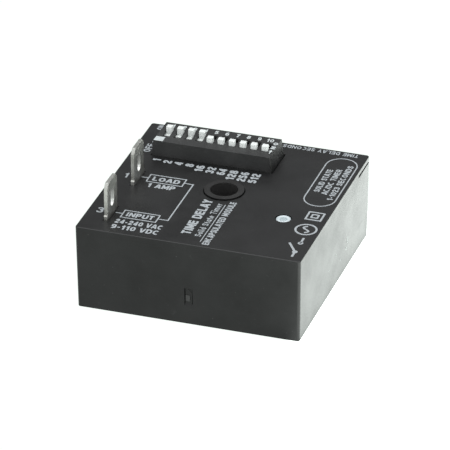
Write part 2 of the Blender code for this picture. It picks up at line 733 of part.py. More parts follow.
def make_potting():
    """The resin block under the board, with an open pocket round each part that hangs in it."""
    low = FLOOR + GAP
    high = BOARD_BOTTOM - GAP

    def block(shape):
        inset = WALL + GAP
        prism(shape, rounded_square(side_at(low, inset), CORNER_RADIUS), low, high,
              end_outline=rounded_square(side_at(high, inset), CORNER_RADIUS))

    def pocket(shape, centre, half_x, half_y, depth):
        box(shape, (centre[0] - half_x - GAP, centre[1] - half_y - GAP, HANG - depth - GAP),
            (centre[0] + half_x + GAP, centre[1] + half_y + GAP, high + 1 * MM))

    def boss_hole(shape):
        prism(shape, circle(BOSS_RADIUS + GAP, 24), low - 1 * MM, high + 1 * MM)

    def can_pocket(shape):
        prism(shape, circle(CAN_RADIUS + GAP, 20, CAN_AT), HANG - CAN_LENGTH - GAP, high + 1 * MM)

    def chip_pocket(shape):
        pocket(shape, CHIP_AT, CHIP_LENGTH / 2, CHIP_REACH, CHIP_DEPTH)

    def lying_pockets(shape):
        for centre, radius, length in LYING_PARTS.values():
            pocket(shape, centre, length / 2 + LYING_REACH, radius, 2 * radius + LYING_STANDOFF)

    def block_pockets(shape):
        for centre, size in BLOCKS.values():
            pocket(shape, centre, size[0] / 2, size[1] / 2, size[2])

    def package_pockets(shape):
        for centre, size, _ in PACKAGES.values():
            pocket(shape, centre, size[0] / 2, size[1] / 2, size[2] + PACKAGE_STANDOFF)

    def lead_trenches(shape):
        depth = HANG - LEAD_END
        row_reach = (POSITIONS - 1) / 2 * PITCH + STRIP_WIDTH / 2
        for row in (SWITCH_Y - PIN_ROW, SWITCH_Y + PIN_ROW):
            pocket(shape, (SWITCH_X, row), row_reach, STRIP_THICKNESS / 2, depth)
        for centre in BLADE_AT.values():
            pocket(shape, centre, BLADE_THICKNESS / 2, BLADE_LEG_OFFSET + BLADE_LEG / 2, depth)
        pocket(shape, (LAMP_X, LAMP_Y), LAMP_LEAD_PITCH / 2 + LEAD / 2, LEAD / 2, depth)

    potting = add_object("potting_block", block, potting_resin())
    for cut in (boss_hole, can_pocket, chip_pocket, lying_pockets, block_pockets,
                package_pockets, lead_trenches):
        combine(potting, add_cutter(f"cutter_{cut.__name__}", cut))


def clear_scene():
    for old in list(bpy.data.objects):
        bpy.data.objects.remove(old, do_unlink=True)


clear_scene()
make_housing_shell()
make_top_cover()
make_circuit_board()
for blade_number in BLADE_AT:
    make_terminal_blade(blade_number)
make_indicator_lamp()
make_switch_case()
make_switch_base()
for switch_index in range(POSITIONS):
    make_slider(switch_index)
    make_contacts(switch_index)
make_board_parts()
make_potting()
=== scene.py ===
"""Looks for the encapsulated delay relay: finer pieces, moulded and plated materials, legends, light."""

import json
import math

import bmesh
import bpy
from mathutils import Matrix, Vector


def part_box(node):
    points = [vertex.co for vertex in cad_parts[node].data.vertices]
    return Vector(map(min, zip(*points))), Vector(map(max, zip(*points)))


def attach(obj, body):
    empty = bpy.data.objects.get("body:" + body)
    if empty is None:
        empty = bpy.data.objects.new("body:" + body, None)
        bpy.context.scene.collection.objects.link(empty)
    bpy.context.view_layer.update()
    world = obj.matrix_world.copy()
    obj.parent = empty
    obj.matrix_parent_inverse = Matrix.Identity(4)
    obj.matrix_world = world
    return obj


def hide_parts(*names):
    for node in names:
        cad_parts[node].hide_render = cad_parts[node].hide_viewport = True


MM = 0.001

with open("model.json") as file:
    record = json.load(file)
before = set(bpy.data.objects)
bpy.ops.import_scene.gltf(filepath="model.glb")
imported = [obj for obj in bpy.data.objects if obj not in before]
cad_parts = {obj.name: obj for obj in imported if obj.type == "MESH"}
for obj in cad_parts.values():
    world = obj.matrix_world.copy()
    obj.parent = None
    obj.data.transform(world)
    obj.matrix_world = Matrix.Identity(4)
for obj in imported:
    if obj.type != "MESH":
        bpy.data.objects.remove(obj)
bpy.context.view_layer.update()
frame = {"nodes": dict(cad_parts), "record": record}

# ---------------------------------------------------------------- places, from the CAD model
lid_low, lid_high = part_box("top_cover")
LID_TOP = lid_high.z
HALF_TOP = lid_high.x
_, shell_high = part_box("housing_shell")
DRAFT = 0.24 * MM                # how much further in each side stands at the bottom
HALF_BOTTOM = HALF_TOP - DRAFT
switch_low, switch_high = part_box("switch_case")
SWITCH_TOP = switch_high.z
SWITCH_X = (switch_low.x + switch_high.x) / 2
SWITCH_Y = (switch_low.y + switch_high.y) / 2
lamp_low, lamp_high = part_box("indicator_lamp")
LAMP_X = (lamp_low.x + lamp_high.x) / 2
LAMP_Y = (lamp_low.y + lamp_high.y) / 2
SLIDERS = [f"slider_{index:02d}" for index in range(1, 11)]
BLADES = ("terminal_blade_1", "terminal_blade_3")

CORNER_RADIUS = 0.65 * MM
SEAM_Z = LID_TOP - 1.3 * MM
SEAM_GAP = 0.008 * MM
CASE_ROUNDING = 0.32 * MM
COVER_ROUNDING = 0.42 * MM
OPENING_GAP = 0.18 * MM          # between the cover and what stands in its openings
BOSS_RADIUS = 4.42 * MM
BOSS_TOP = shell_high.z
BOSS_HOLE_RADIUS = 4.53 * MM
BORE_RADIUS = 3.1 * MM
LAMP_HOLE_RADIUS = 1.8 * MM
INK_LIFT = 0.004 * MM
INK_THICKNESS = 0.02 * MM
INK_STEP = 0.001 * MM            # overlapping strokes differ in height by this much

FLOOR_DROP = 0.02 * MM
FLOOR_HALF = 1.5
FLOOR_FRONT = 1.08               # glow under and before the object
FLOOR_RIGHT = 3.9                # glow past the object's right face
GLOW_START = 22 * MM
GLOW_END = 27 * MM
SKY_TOP = 2.0
SKY_FRONT = 0.9
SKY_BACK = 0.2

CAMERA_AZIMUTH = 18.422          # degrees
CAMERA_ELEVATION = 28.7737
CAMERA_ROLL = -0.2116
CAMERA_DISTANCE = 1043.8871 * MM
CAMERA_SHIFT_RIGHT = 0.1407 * MM
CAMERA_SHIFT_UP = 0.9274 * MM
CAMERA_AIM_HEIGHT = 10.0 * MM
CAMERA_LENS = 382.2              # focal length for a sensor 36 wide, both in mm
SENSOR_WIDTH = 36.0


# ---------------------------------------------------------------- mesh helpers
def rectangle(first_low, first_high, second_low, second_high):
    return [(first_low, second_low), (first_high, second_low),
            (first_high, second_high), (first_low, second_high)]


def circle(radius, segments=96, centre=(0.0, 0.0)):
    return [(centre[0] + radius * math.cos(math.tau * index / segments),
             centre[1] + radius * math.sin(math.tau * index / segments))
            for index in range(segments)]


def rounded_rectangle(low_x, high_x, low_y, high_y, radius, steps=8):
    points = []
    for corner in range(4):
        middle_x = (high_x - radius) if corner in (0, 3) else (low_x + radius)
        middle_y = (high_y - radius) if corner in (0, 1) else (low_y + radius)
        for step in range(steps + 1):
            angle = math.pi / 2 * (corner + step / steps)
            points.append((middle_x + radius * math.cos(angle),
                           middle_y + radius * math.sin(angle)))
    return points


def rounded_square(half, radius, steps=8):
    return rounded_rectangle(-half, half, -half, half, radius, steps)


def prism(shape, outline, start, end, axis="Z", end_outline=None):
    """Extrude a closed outline along an axis, or taper it to end_outline."""
    def place(point, along):
        first, second = point
        if axis == "X":
            return Vector((along, first, second))
        if axis == "Y":
            return Vector((first, along, second))
        return Vector((first, second, along))

    low = [shape.verts.new(place(point, start)) for point in outline]
    high = [shape.verts.new(place(point, end)) for point in (end_outline or outline)]
    shape.faces.new(low)
    shape.faces.new(high)
    count = len(outline)
    for index in range(count):
        after = (index + 1) % count
        shape.faces.new((low[index], low[after], high[after], high[index]))


def block(shape, low, high):
    prism(shape, rectangle(low[0], high[0], low[1], high[1]), low[2], high[2])


def turned(shape, profile, centre=(0.0, 0.0), segments=96):
    """Turn a profile of (radius, height) that starts and ends at radius 0."""
    bottom = shape.verts.new((centre[0], centre[1], profile[0][1]))
    top = shape.verts.new((centre[0], centre[1], profile[-1][1]))
    rings = [[shape.verts.new((x, y, height)) for x, y in circle(radius, segments, centre)]
             for radius, height in profile[1:-1]]
    for index in range(segments):
        after = (index + 1) % segments
        shape.faces.new((bottom, rings[0][after], rings[0][index]))
        shape.faces.new((top, rings[-1][index], rings[-1][after]))
        for lower, upper in zip(rings, rings[1:]):
            shape.faces.new((lower[index], lower[after], upper[after], upper[index]))


def object_from(name, shape):
    """Turn a drawn shape into an object of the scene, and free the shape."""
    bmesh.ops.recalc_face_normals(shape, faces=shape.faces)
    mesh = bpy.data.meshes.new(name)
    shape.to_mesh(mesh)
    shape.free()
    made = bpy.data.objects.new(name, mesh)
    bpy.context.scene.collection.objects.link(made)
    return made


def draft_object(name, build):
    shape = bmesh.new()
    build(shape)
    return object_from(name, shape)


def bake_modifiers(target):
    """Replace the target's mesh by what its modifiers make of it."""
    bpy.context.view_layer.update()
    graph = bpy.context.evaluated_depsgraph_get()
    finished = bpy.data.meshes.new_from_object(target.evaluated_get(graph))
    old = target.data
    target.modifiers.clear()
    target.data = finished
    finished.name = target.name
    bpy.data.meshes.remove(old)


def solid(name, build, joins=(), cuts=()):
    """Draw a solid, join the joins to it and cut the cuts from it."""
    made = draft_object(name, build)
    helpers = []
    for operation, builders in (("UNION", joins), ("DIFFERENCE", cuts)):
        for builder in builders:
            helper = draft_object(f"{name}_{operation.lower()}_{len(helpers)}", builder)
            modifier = made.modifiers.new(helper.name, "BOOLEAN")
            modifier.operation = operation
            modifier.object = helper
            modifier.solver = "EXACT"
            helpers.append(helper)
    if helpers:
        bake_modifiers(made)
    for helper in helpers:
        old = helper.data
        bpy.data.objects.remove(helper)
        bpy.data.meshes.remove(old)
    return made


def weigh_edges(target, angle, weigh):
    """Store how much of the rounding each sharp edge takes: weigh(middle of the edge) gives 0 to 1."""
    shape = bmesh.new()
    shape.from_mesh(target.data)
    layer = shape.edges.layers.float.new("bevel_weight_edge")
    for edge in shape.edges:
        sharp = len(edge.link_faces) == 2 and edge.calc_face_angle(0.0) > math.radians(angle)
        middle = (edge.verts[0].co + edge.verts[1].co) / 2
        edge[layer] = weigh(middle) if sharp else 0.0
        edge.smooth = not sharp or edge[layer] > 0.0
    shape.to_mesh(target.data)
    shape.free()


def soften(target, width, segments=3, angle=35, weigh=None):
    """Round every sharp edge a little, as moulding and stamping leave it."""
    if weigh:
        weigh_edges(target, angle, weigh)
    modifier = target.modifiers.new("edge_round", "BEVEL")
    modifier.width = width
    modifier.segments = segments
    modifier.limit_method = "WEIGHT" if weigh else "ANGLE"
    modifier.angle_limit = math.radians(angle)
    modifier.use_clamp_overlap = True
    modifier.harden_normals = True
    target.data.shade_smooth()
    bake_modifiers(target)


def finish_piece(piece, body, finish, replaced=()):
    piece.data.materials.clear()
    piece.data.materials.append(finish)
    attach(piece, body)
    if replaced:
        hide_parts(*replaced)
    return piece


# ---------------------------------------------------------------- materials
class Nodes:
    """A short way to write a Principled material's nodes."""

    def __init__(self, name, color, roughness, **inputs):
        self.material = bpy.data.materials.new(name)
        self.material.use_nodes = True
        self.tree = self.material.node_tree
        self.shader = self.tree.nodes["Principled BSDF"]
        self.shader.inputs["Base Color"].default_value = (*color, 1.0)
        self.shader.inputs["Roughness"].default_value = roughness
        for key, value in inputs.items():
            self.shader.inputs[key.replace("_", " ")].default_value = value
        coordinates = self.tree.nodes.new("ShaderNodeTexCoord")
        self.place = coordinates.outputs["Object"]

    def link(self, start, end):
        self.tree.links.new(start, end)

    def stretched(self, scale):
        mapping = self.tree.nodes.new("ShaderNodeMapping")
        mapping.inputs["Scale"].default_value = scale
        self.link(self.place, mapping.inputs["Vector"])
        return mapping.outputs["Vector"]

    def noise(self, scale, detail=3.0, roughness=0.55, stretch=None):
        node = self.tree.nodes.new("ShaderNodeTexNoise")
        node.inputs["Scale"].default_value = scale
        node.inputs["Detail"].default_value = detail
        node.inputs["Roughness"].default_value = roughness
        self.link(self.stretched(stretch) if stretch else self.place, node.inputs["Vector"])
        return node.outputs["Fac"]

    def spread(self, value, low, high, out_low, out_high):
        node = self.tree.nodes.new("ShaderNodeMapRange")
        node.inputs["From Min"].default_value = low
        node.inputs["From Max"].default_value = high
        node.inputs["To Min"].default_value = out_low
        node.inputs["To Max"].default_value = out_high
        self.link(value, node.inputs["Value"])
        return node.outputs["Result"]

    def math(self, operation, first, second):
        node = self.tree.nodes.new("ShaderNodeMath")
        node.operation = operation
        for socket, value in zip(node.inputs, (first, second)):
            if isinstance(value, (int, float)):
                socket.default_value = value
            else:
                self.link(value, socket)
        return node.outputs["Value"]

    def blend(self, factor, first, second):
        node = self.tree.nodes.new("ShaderNodeMix")
        node.data_type = "RGBA"
        self.link(factor, node.inputs["Factor"])
        for socket, value in ((node.inputs[6], first), (node.inputs[7], second)):
            if isinstance(value, tuple):
                socket.default_value = (*value, 1.0)
            else:
                self.link(value, socket)
        return node.outputs[2]

    def color(self, value):
        self.link(value, self.shader.inputs["Base Color"])

    def rough(self, value):
        self.link(value, self.shader.inputs["Roughness"])

    def bump(self, height, distance, strength=1.0):
        node = self.tree.nodes.new("ShaderNodeBump")
        node.inputs["Strength"].default_value = strength
        node.inputs["Distance"].default_value = distance
        self.link(height, node.inputs["Height"])
        self.link(node.outputs["Normal"], self.shader.inputs["Normal"])


def moulded_black(name, base, roughness, specular, scuffs, painted_sheen_right=False):
    """Black satin plastic: fine texture, cloudy gloss, a few pale scuffs and specks.

    The side flag lightens the colour steadily towards the right: a painted sheen, the right of the top
    drawn lighter where more light falls on it.
    """
    made = Nodes(name, base, roughness, Specular_IOR_Level=specular)
    cloud = made.noise(130.0, 4.0, 0.6)
    grain = made.noise(5200.0, 2.0)
    scratch = made.noise(420.0, 4.0, 0.6, (1.0, 0.16, 1.0))
    speck = made.spread(made.noise(1500.0, 1.0), 0.74, 0.79, 0.0, 1.0)
    worn = made.spread(scratch, 0.66, 0.76, 0.0, scuffs)
    pale = tuple(channel * 2.4 + 0.012 for channel in base)
    dusty = tuple(channel * 3.2 + 0.03 for channel in base)
    tinted = made.blend(made.spread(cloud, 0.32, 0.68, 0.0, 1.0), base,
                        tuple(channel * 1.8 for channel in base))
    if painted_sheen_right:
        # painted sheen: the colour lightens from left to right, standing in for light falling more
        # strongly on the right of the top
        side = made.tree.nodes.new("ShaderNodeSeparateXYZ")
        made.link(made.place, side.inputs["Vector"])
        tinted = made.blend(made.spread(side.outputs["X"], -2 * MM, 24 * MM, 0.0, 1.0), tinted,
                            tuple(channel * 2.1 for channel in base))
    tinted = made.blend(worn, tinted, pale)
    made.color(made.blend(made.math("MULTIPLY", speck, scuffs), tinted, dusty))
    uneven = made.spread(cloud, 0.25, 0.75, roughness - 0.05, roughness + 0.06)
    made.rough(made.math("ADD", uneven, made.math("MULTIPLY", worn, 0.1)))
    relief = made.math("ADD", made.math("MULTIPLY", grain, 0.45),
                       made.math("MULTIPLY", scratch, 0.3))
    made.bump(relief, 0.004 * MM)
    return made.material


def plated_metal(name, dark, light, low_rough, high_rough):
    """Dull tin plate with fine rolling lines along the strip and cloudy patches."""
    made = Nodes(name, dark, low_rough, Metallic=1.0)
    lines = made.noise(900.0, 3.0, 0.6, (1.0, 1.0, 0.05))
    cloud = made.noise(420.0, 3.0)
    made.color(made.blend(made.spread(cloud, 0.35, 0.7, 0.0, 1.0), dark, light))
    made.rough(made.spread(lines, 0.3, 0.7, low_rough, high_rough))
    made.bump(lines, 0.01 * MM, 0.5)
    return made.material


def printed_ink(name, color):
    """Screen-printed ink: a little uneven, thinner in places."""
    made = Nodes(name, color, 0.6, Specular_IOR_Level=0.3)
    thin = made.noise(2600.0, 3.0)
    dull = tuple(channel * 0.8 for channel in color)
    made.color(made.blend(made.spread(thin, 0.32, 0.6, 0.0, 1.0), dull, color))
    made.bump(thin, 0.004 * MM, 0.6)
    return made.material


def white_plastic():
    """White slider moulding with a faint green cast and a slightly grubby grain."""
    made = Nodes("white_moulding", (0.88, 0.91, 0.89), 0.42)
    patch = made.noise(1100.0, 3.0)
    made.color(made.blend(made.spread(patch, 0.35, 0.7, 0.0, 1.0), (0.85, 0.88, 0.86),
                          (0.93, 0.96, 0.94)))
    made.rough(made.spread(patch, 0.3, 0.7, 0.36, 0.5))
    made.bump(made.noise(6000.0, 2.0), 0.004 * MM)
    return made.material


def lamp_lens():
    """Milky clear resin, clearer and so darker in its middle."""
    made = Nodes("milky_resin", (0.66, 0.73, 0.75), 0.3, Coat_Weight=0.2, Coat_Roughness=0.15)
    cloud = made.noise(1600.0, 2.0)
    made.color(made.blend(made.spread(cloud, 0.35, 0.65, 0.0, 1.0), (0.62, 0.69, 0.72),
                          (0.7, 0.77, 0.79)))
    return made.material


def lamp_chip():
    made = Nodes("lamp_window", (0.6, 0.67, 0.69), 0.3, Coat_Weight=0.3, Coat_Roughness=0.15)
    cloud = made.noise(2200.0, 2.0)
    made.color(made.blend(made.spread(cloud, 0.35, 0.65, 0.0, 1.0), (0.42, 0.5, 0.52),
                          (0.54, 0.62, 0.64)))
    return made.material


def plain_part(name, color, roughness, metallic=0.0, grain=1800.0):
    """Inner parts: a mottled colour and a fine bump in the slot's own colour."""
    made = Nodes(name, color, roughness, Metallic=metallic)
    patch = made.noise(grain, 3.0)
    made.color(made.blend(made.spread(patch, 0.35, 0.65, 0.0, 1.0),
                          tuple(channel * 0.82 for channel in color),
                          tuple(min(1.0, channel * 1.15) for channel in color)))
    made.rough(made.spread(patch, 0.3, 0.7, roughness - 0.05, roughness + 0.07))
    made.bump(patch, 0.01 * MM, 0.5)
    return made.material


case_finish = moulded_black("case_black", (0.0075, 0.0075, 0.0076), 0.34, 0.28, 0.6)
# the cover's colour lightens towards the right: painted sheen
cover_finish = moulded_black("cover_black", (0.008, 0.008, 0.0081), 0.36, 0.56, 0.4, True)
boss_finish = moulded_black("boss_black", (0.0125, 0.0122, 0.012), 0.4, 0.56, 0.3)
# The bore's walls get a black about three times lighter than the case: painted fill light, so the hole
# reads dimly lit instead of dark.
bore_painted_fill = moulded_black("bore_black_painted_fill", (0.026, 0.0255, 0.025), 0.5, 0.4, 0.2)
switch_finish = moulded_black("switch_black", (0.027, 0.0272, 0.027), 0.5, 0.32, 0.2)
metal_finish = plated_metal("tin_plate", (0.44, 0.44, 0.41), (0.58, 0.58, 0.555), 0.44, 0.6)
# The slot's inner walls get a near-white, glossier copy of the tin plate: a painted highlight on the cut
# edges.
slot_painted_highlight = plated_metal("slot_edge_painted_highlight", (0.9, 0.9, 0.87), (0.97, 0.97, 0.95), 0.25, 0.35)
white_finish = white_plastic()
lens_finish = lamp_lens()
window_finish = lamp_chip()
scuff_finish = printed_ink("rubbed_spot", (0.42, 0.46, 0.45))
ink_finish = printed_ink("legend_ink", (0.46, 0.49, 0.51))
mark_finish = printed_ink("switch_ink", (0.66, 0.7, 0.7))


# ---------------------------------------------------------------- case
def make_cup():
    top = SEAM_Z - SEAM_GAP / 2

    def half_at(height):
        return HALF_BOTTOM + (HALF_TOP - HALF_BOTTOM) * height / LID_TOP

    def body(shape):
        prism(shape, rounded_square(half_at(0), CORNER_RADIUS), 0, top,
              end_outline=rounded_square(half_at(top), CORNER_RADIUS))

    def hollow(shape):
        wall, floor = 1.6 * MM, 1.8 * MM
        prism(shape, rounded_square(half_at(0) - wall, CORNER_RADIUS), floor, top + 1 * MM)

    def boss(shape):
        prism(shape, circle(BOSS_RADIUS), 0.9 * MM, BOSS_TOP)

    def collar(shape):
        """A step just outside the boss that keeps the gap round it shallow."""
        prism(shape, circle(BOSS_HOLE_RADIUS - 0.02 * MM), top - 1 * MM, LID_TOP - 0.4 * MM)

    def bore(shape):
        turned(shape, [(0, -1 * MM), (BORE_RADIUS, -1 * MM), (BORE_RADIUS, BOSS_TOP + 1 * MM),
                       (0, BOSS_TOP + 1 * MM)])

    def recess(shape):
        """The shallow recess in the front face: sloping sides, its floor a little way in."""
        face, floor = -HALF_TOP - 0.4 * MM, -HALF_BOTTOM + 0.26 * MM
        prism(shape, rectangle(-1.0 * MM, 1.5 * MM, 3.75 * MM, 9.1 * MM), face, floor, "Y",
              rectangle(-0.52 * MM, 0.95 * MM, 4.85 * MM, 8.5 * MM))

    def recess_grooves(shape):
        """Narrow flash lines down the left edge and across the top right corner."""
        start, end = -HALF_TOP - 0.4 * MM, -HALF_BOTTOM + 0.33 * MM
        prism(shape, rectangle(-0.68 * MM, -0.62 * MM, 4.9 * MM, 8.5 * MM), start, end, "Y")
        corner = [(0.0, 8.6 * MM), (1.12 * MM, 7.5 * MM), (1.18 * MM, 5.0 * MM)]
        prism(shape, stroke_outline(corner, 0.11 * MM), start, end, "Y")

    def seam_opening(shape):
        """The back end of the right-hand seam stands a little open."""
        outline = [(17.0 * MM, top + 0.02 * MM), (HALF_TOP + 1 * MM, top + 0.1 * MM),
                   (HALF_TOP + 1 * MM, top - 0.2 * MM), (17.5 * MM, top - 0.28 * MM)]
        prism(shape, outline, HALF_TOP - 1.2 * MM, HALF_TOP + 1 * MM, "X")

    cup = solid("cup", body, cuts=[hollow])
    shaped = solid("cup_shape", lambda shape: shape.from_mesh(cup.data), joins=[boss, collar],
                   cuts=[bore, recess, recess_grooves, seam_opening])
    bpy.data.objects.remove(cup)
    shaped.name = "cup"

    def weigh(middle):
        if abs(middle.z - top) < 0.3 * MM:
            return 0.0
        if middle.z > LID_TOP and middle.xy.length > BORE_RADIUS * 1.2:
            return 1.0
        return 0.45

    soften(shaped, CASE_ROUNDING, weigh=weigh)
    finish_piece(shaped, "housing", case_finish, ["housing_shell"])
    shaped.data.materials.append(boss_finish)
    shaped.data.materials.append(bore_painted_fill)
    # the bore's walls take the lightened black: painted fill light
    for face in shaped.data.polygons:
        if abs(face.normal.z) < 0.1 and face.center.xy.length < BORE_RADIUS * 1.02:
            face.material_index = 2
        else:
            face.material_index = 1 if face.center.z > LID_TOP and face.normal.z > 0.2 else 0

    def nub(shape):
        block(shape, (-0.5 * MM, -HALF_BOTTOM + 0.14 * MM, 5.45 * MM),
              (0.5 * MM, -HALF_BOTTOM + 0.6 * MM, 6.95 * MM))

    def sill(shape):
        outline = [(-HALF_BOTTOM - 0.03 * MM, 4.45 * MM), (-HALF_BOTTOM + 0.4 * MM, 4.45 * MM),
                   (-HALF_BOTTOM + 0.4 * MM, 4.98 * MM)]
        prism(shape, outline, -0.6 * MM, 0.75 * MM, "X")

    for name, build in (("recess_nub", nub), ("recess_sill", sill)):
        detail = solid(name, build)
        soften(detail, 0.06 * MM)
        finish_piece(detail, "housing", boss_finish)


def make_lid():
    bottom = SEAM_Z + SEAM_GAP / 2

    def plate(shape):
        prism(shape, rounded_square(HALF_TOP - 0.015 * MM, CORNER_RADIUS), bottom, LID_TOP,
              end_outline=rounded_square(HALF_TOP, CORNER_RADIUS))

    def holes(shape):
        low, high = bottom - 1 * MM, LID_TOP + 1 * MM
        prism(shape, circle(BOSS_HOLE_RADIUS), low, high)
        prism(shape, circle(LAMP_HOLE_RADIUS, 48, (LAMP_X, LAMP_Y)), low, high)
        gap = OPENING_GAP
        block(shape, (switch_low.x - gap, switch_low.y - gap, low),
              (switch_high.x + 0.4 * MM, switch_high.y + gap, high))
        for name in BLADES:
            blade_low, blade_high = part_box(name)
            block(shape, (blade_low.x - gap, blade_low.y - gap, low),
                  (blade_high.x + gap, blade_high.y + gap, high))

    def seam_opening(shape):
        """The cover's half of the wedge at the back of the right-hand seam."""
        outline = [(16.9 * MM, bottom - 0.02 * MM), (HALF_TOP + 1 * MM, bottom - 0.2 * MM),
                   (HALF_TOP + 1 * MM, bottom + 0.22 * MM), (17.3 * MM, bottom + 0.36 * MM)]
        prism(shape, outline, HALF_TOP - 1.2 * MM, HALF_TOP + 1 * MM, "X")

    lid = solid("lid", plate, cuts=[holes, seam_opening])

    def weigh(middle):
        if middle.z < LID_TOP - 0.1 * MM:
            return 0.0 if abs(middle.z - bottom) < 0.6 * MM else 0.3
        if max(abs(middle.x), abs(middle.y)) > HALF_TOP - CORNER_RADIUS:
            return 1.0
        return 0.8 if middle.xy.length < BOSS_HOLE_RADIUS * 1.1 else 0.28

    soften(lid, COVER_ROUNDING, 4, weigh=weigh)
    finish_piece(lid, "housing", cover_finish, ["top_cover"])
    lid.data.materials.append(case_finish)
    for face in lid.data.polygons:
        face.material_index = 1 if face.normal.z < 0.3 else 0

    def lip(shape):
        prism(shape, rounded_square(23.5 * MM, CORNER_RADIUS), lid_low.z, bottom - 0.02 * MM)

    def lip_hollow(shape):
        prism(shape, rounded_square(22.3 * MM, CORNER_RADIUS), lid_low.z - 1 * MM, bottom + 1 * MM)

    rim = solid("lid_lip", lip, cuts=[lip_hollow])
    finish_piece(rim, "housing", case_finish)


# ---------------------------------------------------------------- terminals and lamp
def make_blade(name):
    low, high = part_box(name)
    middle_y = (low.y + high.y) / 2
    half_shoulder = (high.y - low.y) / 2
    half_tab = 3.175 * MM
    shoulder = LID_TOP + 1.1 * MM
    cut_across, cut_down = 0.85 * MM, 1.15 * MM
    leg_in, leg_out, leg_top = 1.55 * MM, 3.05 * MM, 16.8 * MM
    half_outline = [(leg_in, leg_top), (leg_in, low.z), (leg_out, low.z), (leg_out, leg_top),
                    (half_shoulder, leg_top), (half_shoulder, shoulder - 0.25 * MM),
                    (half_tab, shoulder), (half_tab, high.z - cut_down),
                    (half_tab - cut_across, high.z)]
    outline = half_outline + [(-y, z) for y, z in reversed(half_outline)]
    outline = [(middle_y + y, z) for y, z in outline]

    def strip(shape):
        prism(shape, outline, low.x, high.x, "X")

    slot_radius, slot_straight, slot_z = 0.95 * MM, 1.05 * MM, LID_TOP + 4.0 * MM

    def slot(shape):
        points = (arc(middle_y, slot_z + slot_straight, slot_radius, slot_radius, 0, 180, 12)
                  + arc(middle_y, slot_z - slot_straight, slot_radius, slot_radius, 180, 360, 12))
        prism(shape, points, low.x - 1 * MM, high.x + 1 * MM, "X")

    blade = solid(f"{name}_tab", strip, cuts=[slot])
    soften(blade, 0.1 * MM)
    finish_piece(blade, "housing", metal_finish, [name])
    blade.data.materials.append(slot_painted_highlight)
    # the slot's walls take the painted highlight
    for face in blade.data.polygons:
        away = Vector((face.center.y - middle_y, face.center.z - slot_z))
        in_slot = abs(away.x) < slot_radius * 1.01 and abs(away.y) < slot_radius + slot_straight
        face.material_index = 1 if in_slot and abs(face.normal.x) < 0.3 else 0


def make_lamp():
    top = lamp_high.z
    centre = (LAMP_X, LAMP_Y)

    def lens(shape):
        turned(shape, [(0, lamp_low.z), (1.95 * MM, lamp_low.z), (1.98 * MM, lamp_low.z + 1 * MM),
                       (1.65 * MM, lamp_low.z + 1.05 * MM), (1.64 * MM, top - 0.3 * MM),
                       (1.59 * MM, top - 0.14 * MM), (1.46 * MM, top - 0.03 * MM),
                       (1.3 * MM, top), (1.1 * MM, top - 0.03 * MM), (0.9 * MM, top - 0.12 * MM),
                       (0, top - 0.14 * MM)], centre, 64)

    def window(shape):
        turned(shape, [(0, top - 0.2 * MM), (0.8 * MM, top - 0.2 * MM),
                       (0.84 * MM, top - 0.1 * MM), (0.6 * MM, top - 0.06 * MM),
                       (0, top - 0.05 * MM)], centre, 40)

    body = solid("lamp_lens", lens)
    body.data.shade_smooth()
    finish_piece(body, "housing", lens_finish, ["indicator_lamp"])
    core = solid("lamp_core", window)
    core.data.shade_smooth()
    finish_piece(core, "housing", window_finish)


# ---------------------------------------------------------------- slide switch
def knob_places():
    """Centre X, rest centre Y and top of every knob, from the CAD sliders."""
    places = []
    for name in SLIDERS:
        low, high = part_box(name)
        places.append(((low.x + high.x) / 2, (low.y + high.y) / 2, high.z))
    return places


def make_switch():
    half_length, half_width, flare = 13.425 * MM, (switch_high.y - switch_low.y) / 2, 0.45 * MM
    foot = half_length + flare
    places = knob_places()
    wall = 0.6 * MM
    channel_half, slot_half = 1.02 * MM, 0.8 * MM
    slot_low, slot_high = 13.53 * MM, 17.32 * MM

    def body(shape):
        outline = [(SWITCH_X - foot, switch_low.z), (SWITCH_X + foot, switch_low.z),
                   (SWITCH_X + foot, LID_TOP), (SWITCH_X + half_length, SWITCH_TOP),
                   (SWITCH_X - half_length, SWITCH_TOP), (SWITCH_X - foot, LID_TOP)]
        prism(shape, outline, SWITCH_Y - half_width, SWITCH_Y + half_width, "Y")

    def recess(shape):
        block(shape, (SWITCH_X - foot + wall, SWITCH_Y - half_width + wall,
                      switch_low.z - 1 * MM),
              (SWITCH_X + foot - wall, SWITCH_Y + half_width - wall,
               switch_low.z + 1.1 * MM))

    def channels(shape):
        for middle, _, _ in places:
            block(shape, (middle - channel_half, SWITCH_Y - half_width + wall,
                          switch_low.z + 0.9 * MM),
                  (middle + channel_half, SWITCH_Y + half_width - wall, SWITCH_TOP - wall))

    def slots(shape):
        for middle, _, _ in places:
            block(shape, (middle - slot_half, slot_low, SWITCH_TOP - 1.2 * MM),
                  (middle + slot_half, slot_high, SWITCH_TOP + 1 * MM))

    case = solid("switch_cover", body, cuts=[recess, channels, slots])
    soften(case, 0.09 * MM, 2)
    finish_piece(case, "housing", switch_finish, ["switch_case"])


